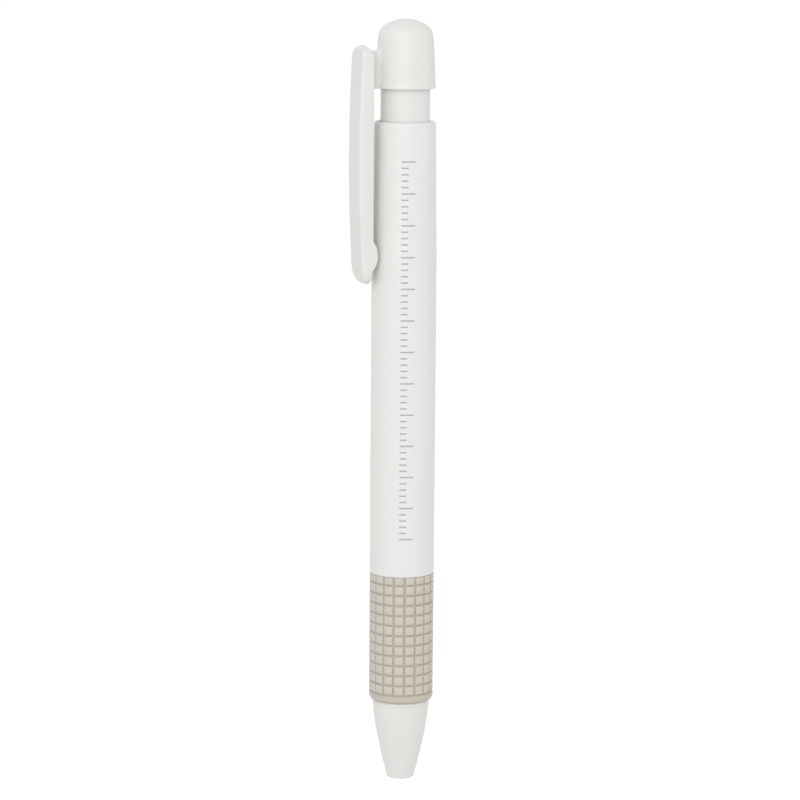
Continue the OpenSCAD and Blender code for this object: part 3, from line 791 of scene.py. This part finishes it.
class ERASER_OT_stem(Operator):
    """Makes the click stem that shows as the neck, with its key and its tube socket"""

    bl_idname = "eraser.stem"
    bl_label = "Click stem"

    def execute(self, context):
        s = context.scene.eraser.shell
        inner = context.scene.eraser.inner
        radius, low, high = STEM_HIGH.x, STEM_LOW.z, STEM_HIGH.z
        socket, bore = inner.tube / 2 + SEAT_GAP, STICK_HIGH.x + inner.tube_room
        edge, bevel, key_edge = 0.3 * MM, 0.1 * MM, 0.06 * MM
        outline = (
            [(socket, low)]
            + arc(radius - edge, low + edge, edge, -90, 0, 5)
            + [(radius, z) for z in spread(low + MM, high - MM, 2 * MM)]
            + arc(radius - edge, high - edge, edge, 0, 90, 5)
            + [(bore + bevel, high), (bore, high - bevel), (bore, TUBE_HIGH.z), (socket, TUBE_HIGH.z)]
        )
        mesh = bmesh.new()
        skin(mesh, turned(outline))
        root, reach, half, top = radius - edge, -STEM_LOW.x, s.key_width / 2, BARREL_HIGH.z - s.key_drop
        side = [(root, low), (reach - key_edge, low), (reach, low + key_edge)]
        side += [(reach, top - key_edge), (reach - key_edge, top), (root, top)]
        loops = []
        for y, inset in ((-half, key_edge), (key_edge - half, 0), (half - key_edge, 0), (half, key_edge)):
            loops.append([(-x if x == root else inset - x, y, z) for x, z in side])
        tube(mesh, loops)
        # Painted shade: the neck takes the darker, shaded copy of the plastic.
        material = shell_plastic("neck plastic", s, s.trim_shade)
        piece("neck_stem", mesh, "click_stem", "knock_stem", material)
        return {"FINISHED"}


class ERASER_OT_cap(Operator):
    """Makes the domed cap, its pocket clip and the blended arm between them"""

    bl_idname = "eraser.cap"
    bl_label = "Cap and clip"

    def execute(self, context):
        eraser = context.scene.eraser
        s = self.cap = eraser.cap
        self.rim = CAP_HIGH.z - s.length
        self.corner_x = s.shoulder - s.shoulder_round * math.cos(s.lean)
        self.corner_rise = math.sqrt((s.dome - s.shoulder_round) ** 2 - self.corner_x ** 2)
        self.corner_z = CAP_HIGH.z - s.dome + self.corner_rise
        self.side_high = self.corner_z + s.shoulder_round * math.sin(s.lean)
        self.side_low = self.rim + s.lip_height
        mesh = bmesh.new()
        skin(mesh, turned(self.cap_outline(s)), closed=False)
        skin(mesh, self.clip_columns(eraser.clip), closed=False)
        skin(mesh, self.arm_columns(eraser.clip), closed=False)
        # Painted shade: the cap and clip take the darker, shaded copy of the plastic.
        material = shell_plastic("cap plastic", eraser.shell, eraser.shell.trim_shade)
        piece("cap_and_clip", mesh, "cap", "knock_cap", material)
        return {"FINISHED"}

    def side_radius(self, z):
        """Radius of the cap's side at a height, between its lip and its shoulder."""
        s = self.cap
        t = min(max((self.side_high - z) / (self.side_high - self.side_low), 0.0), 1.0)
        return s.shoulder + (CAP_HIGH.x - s.lip - s.shoulder) * t + 4 * s.bulge * t * (1 - t)

    def cap_outline(self, s):
        """Outside of the cap from its apex down to the rim, then up the bore to the hollow in the dome."""
        meet = math.degrees(math.atan2(self.corner_rise, self.corner_x))
        dome = arc(0.0, CAP_HIGH.z - s.dome, s.dome, 90, meet, 14)
        corner = arc(self.corner_x, self.corner_z, s.shoulder_round, meet, math.degrees(s.lean), 14)
        side = [(self.side_radius(z), z) for z in spread(self.side_high, self.side_low, 0.4 * MM)]
        lip = []
        for t in spread(0.0, 1.0, 0.2)[1:]:
            lip.append((CAP_HIGH.x - s.lip * (1 - t) ** 2, self.side_low - s.lip_flare * t))
        foot = arc(CAP_HIGH.x - s.rim_edge, self.rim + s.rim_edge, s.rim_edge, 0, -90, 5)
        bore, floor = STEM_HIGH.x + RUN_GAP, STEM_HIGH.z + s.floor_gap
        roof, edge = CAP_HIGH.z - s.wall, s.hollow_edge
        inside = [(bore + s.bore_edge, self.rim), (bore, self.rim + s.bore_edge), (bore, floor)]
        inside += [(s.hollow, floor)] + arc(s.hollow - edge, roof - edge, edge, 0, 90, 4) + [(0.0, roof)]
        return dome + corner[1:] + side[1:] + lip + foot + inside

    def clip_columns(self, s):
        """The clip as columns, each from the middle of the outer face round to that of the inner face."""
        inner = BARREL_HIGH.x + s.gap
        outer = inner + s.thickness
        half = s.width / 2
        spacing, bump_blend, edge_share, on_the_side = 0.25 * MM, 0.3 * MM, 0.9, (0.3, 0.6)
        high, low = CAP_HIGH.z - s.drop, CAP_LOW.z + s.tip_up
        centre_high, centre_low = high - s.top_height, low + s.tip_height
        bump_z = low + s.bump_up
        bump_h = s.gap - s.bump_gap
        bump_r = ((s.bump_length / 2) ** 2 + bump_h ** 2) / (2 * bump_h)

        def rounded_off(from_end, length, depth):
            """How far a face draws in near an end that is rounded over this length and depth."""
            t = min(max(1 - from_end / length, 0.0), 1.0)
            return depth * (1 - math.sqrt(1 - t * t))

        def outer_face(z):
            bow_high, bow_low = high - s.top_length, low + s.tip_length
            t = min(max((z - bow_low) / (bow_high - bow_low), 0.0), 1.0)
            top = rounded_off(high - z, s.top_length, s.top_depth)
            tip = rounded_off(z - low, s.tip_length, s.tip_depth)
            return outer + 4 * s.bow * t * (1 - t) - top - tip

        def inner_face(z):
            away = min(abs(z - bump_z), bump_r)
            bump = math.sqrt(bump_r ** 2 - away ** 2) - (bump_r - bump_h)
            flare = s.tip_flare * min(max((bump_z - z) / s.bump_up, 0.0), 1.0)
            slope = s.slope_depth * max(1 - (high - z) / s.slope_length, 0.0)
            return inner - smooth_max(bump, -flare, bump_blend) + slope

        def edge(radius, start, end, steps):
            """Points of a rounded edge, as the distances in from the outline and from the face."""
            angles = spread(start, end, abs(end - start) / steps)
            return [(radius * (1 - math.cos(a)), radius * (1 - math.sin(a))) for a in angles]

        right = [(half, z) for z in spread(centre_low, centre_high, spacing)]
        top = oval(0.0, centre_high, half, s.top_height, 0, 180, 32)[1:-1]
        left = [(-x, z) for x, z in reversed(right)]
        tip = oval(0.0, centre_low, half, s.tip_height, 180, 360, 32, s.tip_power)[1:-1]
        outer_edge = edge(s.outer_edge, math.pi / 2, 0.0, 7)
        inner_edge = edge(s.inner_edge, 0.0, math.pi / 2, 4)
        insets = (half, 0.72 * half, 0.45 * half)
        columns = []
        for y, z in right + top + left + tip:
            middle = min(max(z, centre_low), centre_high)
            thick = outer_face(z) - inner_face(z)
            ease = min(1.0, edge_share * thick / (s.outer_edge + s.inner_edge))
            column = []

            def add(inset, face, sink):
                """Adds the point of the loop that lies this far in from the outline."""
                share = 1 - inset / half
                place = middle + (z - middle) * share
                column.append((-(face(place) + sink * ease), y * share, place))

            for inset in insets:
                add(inset, outer_face, 0.0)
            for inset, sink in outer_edge:
                add(inset, outer_face, -sink)
            for t in on_the_side:
                level = outer_face(z) - s.outer_edge * ease
                level -= (level - inner_face(z) - s.inner_edge * ease) * t
                column.append((-level, y, z))
            rounder = 1 + s.bump_edge * max(inner - inner_face(z), 0.0) / bump_h
            for inset, sink in inner_edge:
                add(inset * rounder, inner_face, sink * rounder)
            for inset in reversed(insets):
                add(inset, inner_face, 0.0)
            columns.append(column)
        return columns

    def arm_columns(self, s):
        """The arm as columns from inside the cap's wall to inside the clip, flared where it meets each."""
        clip_face = BARREL_HIGH.x + s.gap
        half, low, high = s.arm_width / 2, self.rim, self.rim + s.arm_height
        corner, foot, clip_blend = 0.35 * MM, 0.12 * MM, 0.12 * MM
        cap_root, clip_root = 0.25 * MM, 0.9 * MM
        section = []
        for y, z, r, turn, steps in (
            (half - corner, high - corner, corner, 0, 6),
            (corner - half, high - corner, corner, 90, 6),
            (foot - half, low + foot, foot, 180, 3),
            (half - foot, low + foot, foot, 270, 3),
        ):
            angles = [math.radians(turn + 90 * i / steps) for i in range(steps + 1)]
            section += [(*point, a) for point, a in zip(arc(y, z, r, turn, turn + 90, steps), angles)]

        # Each loop's flare outward, how far it lies from its face, and whether that face is the cap's
        curve = [(1 - math.sin(a), 1 - math.cos(a)) for a in spread(0.0, math.pi / 2, math.pi / 16)]
        loops = [(s.arm_blend, -cap_root, True)]
        loops += [(s.arm_blend * out, s.arm_blend * along, True) for out, along in curve]
        loops += [(clip_blend * out, -clip_blend * along, False) for out, along in reversed(curve)]
        loops += [(clip_blend, clip_root, False)]

        columns = []
        for y, z, angle in section:
            column = []
            for flare, along, on_cap in loops:
                place_y, place_z = y + math.cos(angle) * flare, z + max(math.sin(angle), 0.0) * flare
                cap_face = math.sqrt(self.side_radius(place_z) ** 2 - place_y ** 2)
                face = cap_face if on_cap else clip_face
                column.append((-(face + along), place_y, place_z))
            columns.append(column)
        return columns


class ERASER_OT_stick(Operator):
    """Makes the eraser stick with the end that is used worn to a slant"""

    bl_idname = "eraser.stick"
    bl_label = "Eraser stick"

    def execute(self, context):
        s = context.scene.eraser.stick
        radius, low, high, back_edge = STICK_HIGH.x, STICK_LOW.z, STICK_HIGH.z, 0.15 * MM
        outline = (
            [(0.0, low), (0.5 * radius, low)]
            + arc(radius - s.worn_round, low + s.worn_round, s.worn_round, -90, 0, 7)
            + [(radius, z) for z in spread(low + 2 * MM, high - MM, 3 * MM)]
            + arc(radius - back_edge, high - back_edge, back_edge, 0, 90, 3)
            + [(0.0, high)]
        )
        columns = []
        for column in turned(outline, 96):
            worn = []
            for x, y, z in column:
                fade = max(0.0, 1 - (z - low) / s.worn_depth)
                worn.append((x, y, z + s.worn_slope * fade * (0.5 + 0.5 * x / radius) ** 1.5))
            columns.append(worn)
        mesh = bmesh.new()
        skin(mesh, columns, closed=False)
        piece("eraser_stick", mesh, "stick", "eraser", eraser_rubber("eraser rubber", s))
        return {"FINISHED"}


class ERASER_OT_spring(Operator):
    """Makes the return spring as one round wire with closed end turns"""

    bl_idname = "eraser.spring"
    bl_label = "Spring"

    def execute(self, context):
        s = context.scene.eraser.inner
        wire = s.wire / 2
        coil = SPRING_HIGH.x - wire
        low, high = SPRING_LOW.z + wire, SPRING_HIGH.z - wire
        around, sides, clearance = 32, 12, 1.04
        closed_rise = clearance * s.wire
        open_rise = (high - low - 2 * closed_rise) / (s.turns - 2)

        def height(turn):
            """Height of the wire after this many turns. The first and last turn are closed."""
            if turn < 1:
                return low + closed_rise * turn
            if turn > s.turns - 1:
                return high - closed_rise * (s.turns - turn)
            return low + closed_rise + open_rise * (turn - 1)

        mesh = bmesh.new()
        loops = []
        for turn in spread(0.0, s.turns, 1 / around):
            section = arc(coil, height(turn), wire, 0, 360, sides)[:-1]
            loops.append([polar(r, 2 * math.pi * turn, z) for r, z in section])
        tube(mesh, loops)
        material = drawn_wire("spring wire", s)
        made = piece("return_spring", mesh, "barrel", "spring", material)
        rest = SPRING_HIGH.z - SPRING_LOW.z
        keep = (rest - travel("click_press")) / rest
        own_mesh(made)
        return {"FINISHED"}


class ERASER_OT_mechanism(Operator):
    """Gives the chuck, its ring, the guide sleeve, the inner tube and the rubber ring their finishes"""

    bl_idname = "eraser.mechanism"
    bl_label = "Mechanism"

    def execute(self, context):
        s = context.scene.eraser.inner
        plastic = inner_plastic("inner plastic", s)
        finishes = {
            "chuck": plastic,
            "guide_sleeve": plastic,
            "eraser_tube": plastic,
            "chuck_ring": turned_brass("ring brass", s),
            "eraser_retainer": seal_rubber("seal rubber", s),
        }
        for node, material in finishes.items():
            for material_slot in frame["nodes"][node].material_slots:
                material_slot.material = material
        return {"FINISHED"}


class ERASER_OT_stage(Operator):
    """Sets the pale floor, the soft light and the camera at the photograph's angle"""

    bl_idname = "eraser.stage"
    bl_label = "Stage"

    def execute(self, context):
        s = context.scene.eraser.stage
        self.floor(s)
        self.light(context.scene, s)
        self.lamps(s)
        self.camera(context.scene, s)
        context.scene.view_settings.view_transform = "Standard"
        return {"FINISHED"}

    def floor(self, s):
        """A wide pale floor. Where it is seen, it is lifted to white, with the shadow kept."""
        f = Finish("floor white")
        white = f.node("ShaderNodeBsdfDiffuse", inputs={"Color": FLOOR_WHITE})
        glow = f.node("ShaderNodeEmission", inputs={"Color": WHITE, "Strength": f.seen() * s.glow})
        both = f.node("ShaderNodeAddShader", inputs=(white, glow))
        f.node("ShaderNodeOutputMaterial", inputs={"Surface": both})
        data = bpy.data.meshes.new("floor")
        far, z = FLOOR_REACH, -s.floor_drop
        corners = [(-far, -far, z), (far, -far, z), (far, far, z), (-far, far, z)]
        data.from_pydata(corners, [], [(0, 1, 2, 3)])
        data.materials.append(f.material)
        floor = bpy.data.objects.new("floor", data)
        bpy.context.scene.collection.objects.link(floor)

    def light(self, scene, s):
        """Even light from all round. Where it is seen itself, it is white."""
        world = bpy.data.worlds.new("studio")
        scene.world = world
        world.use_nodes = True
        w = Nodes(world.node_tree)
        strength = s.surround + w.seen() * (1 - s.surround)
        background = w.node("ShaderNodeBackground", inputs={"Color": WHITE, "Strength": strength})
        w.node("ShaderNodeOutputWorld", inputs={"Surface": background})

    def lamps(self, s):
        """A soft lamp on the left of the camera and a weaker one on the right, both square."""
        for name, (power, azimuth, elevation, side) in LAMPS.items():
            data = bpy.data.lights.new(name, "AREA")
            data.energy = getattr(s, power)
            data.size = side
            back = direction(math.radians(azimuth), math.radians(elevation))
            self.aim(bpy.data.objects.new(name, data), back, LAMP_DISTANCE, LIT_HEIGHT)

    def camera(self, scene, s):
        """The photograph's camera: a long lens a little above the object, on the clip's side."""
        data = bpy.data.cameras.new("camera")
        data.lens = s.lens
        data.sensor_width = 36.0
        data.shift_x = s.shift_x
        data.clip_start, data.clip_end = 0.01, 30.0
        camera = bpy.data.objects.new("camera", data)
        self.aim(camera, direction(s.azimuth, s.elevation), s.distance, s.aim_height, s.roll)
        scene.camera = camera

    def aim(self, thing, back, distance, height, roll=0.0):
        """Puts a lamp or camera at a distance from a point on the axis, facing that point."""
        thing.location = Vector((0, 0, height)) + back * distance
        thing.rotation_mode = "QUATERNION"
        thing.rotation_quaternion = (-back).to_track_quat("-Z", "Y") @ Quaternion((0, 0, 1), roll)
        bpy.context.scene.collection.objects.link(thing)


def direction(azimuth, elevation):
    """Unit vector from the object towards a place at these angles, in radians."""
    across = math.cos(elevation)
    return Vector((math.sin(azimuth) * across, -math.cos(azimuth) * across, math.sin(elevation)))


OPERATORS = (
    ERASER_OT_nose,
    ERASER_OT_grip,
    ERASER_OT_barrel,
    ERASER_OT_stem,
    ERASER_OT_cap,
    ERASER_OT_stick,
    ERASER_OT_spring,
    ERASER_OT_mechanism,
    ERASER_OT_stage,
)


class ERASER_PT_panel(Panel):
    """Lists the pieces of the eraser holder"""

    bl_idname = "ERASER_PT_panel"
    bl_label = "Retractable eraser"
    bl_space_type = "VIEW_3D"
    bl_region_type = "UI"
    bl_category = "Eraser"

    def draw(self, context):
        for operator in OPERATORS:
            self.layout.operator(operator.bl_idname)
        settings = context.scene.eraser
        for group in settings.__annotations__:
            box = self.layout.box()
            box.label(text=settings.bl_rna.properties[group].name)
            for name in getattr(settings, group).__annotations__:
                box.prop(getattr(settings, group), name)


SETTINGS = (
    ShellSettings,
    GripSettings,
    CapSettings,
    ClipSettings,
    TickSettings,
    InnerSettings,
    StickSettings,
    StageSettings,
    EraserSettings,
)
CLASSES = SETTINGS + OPERATORS + (ERASER_PT_panel,)


def register():
    for cls in CLASSES:
        bpy.utils.register_class(cls)
    bpy.types.Scene.eraser = PointerProperty(type=EraserSettings)


def unregister():
    del bpy.types.Scene.eraser
    for cls in reversed(CLASSES):
        bpy.utils.unregister_class(cls)


def main():
    """Makes every piece and the stage."""
    register()
    for operator in OPERATORS:
        group, name = operator.bl_idname.split(".")
        getattr(getattr(bpy.ops, group), name)()


if __name__ == "__main__":
    main()
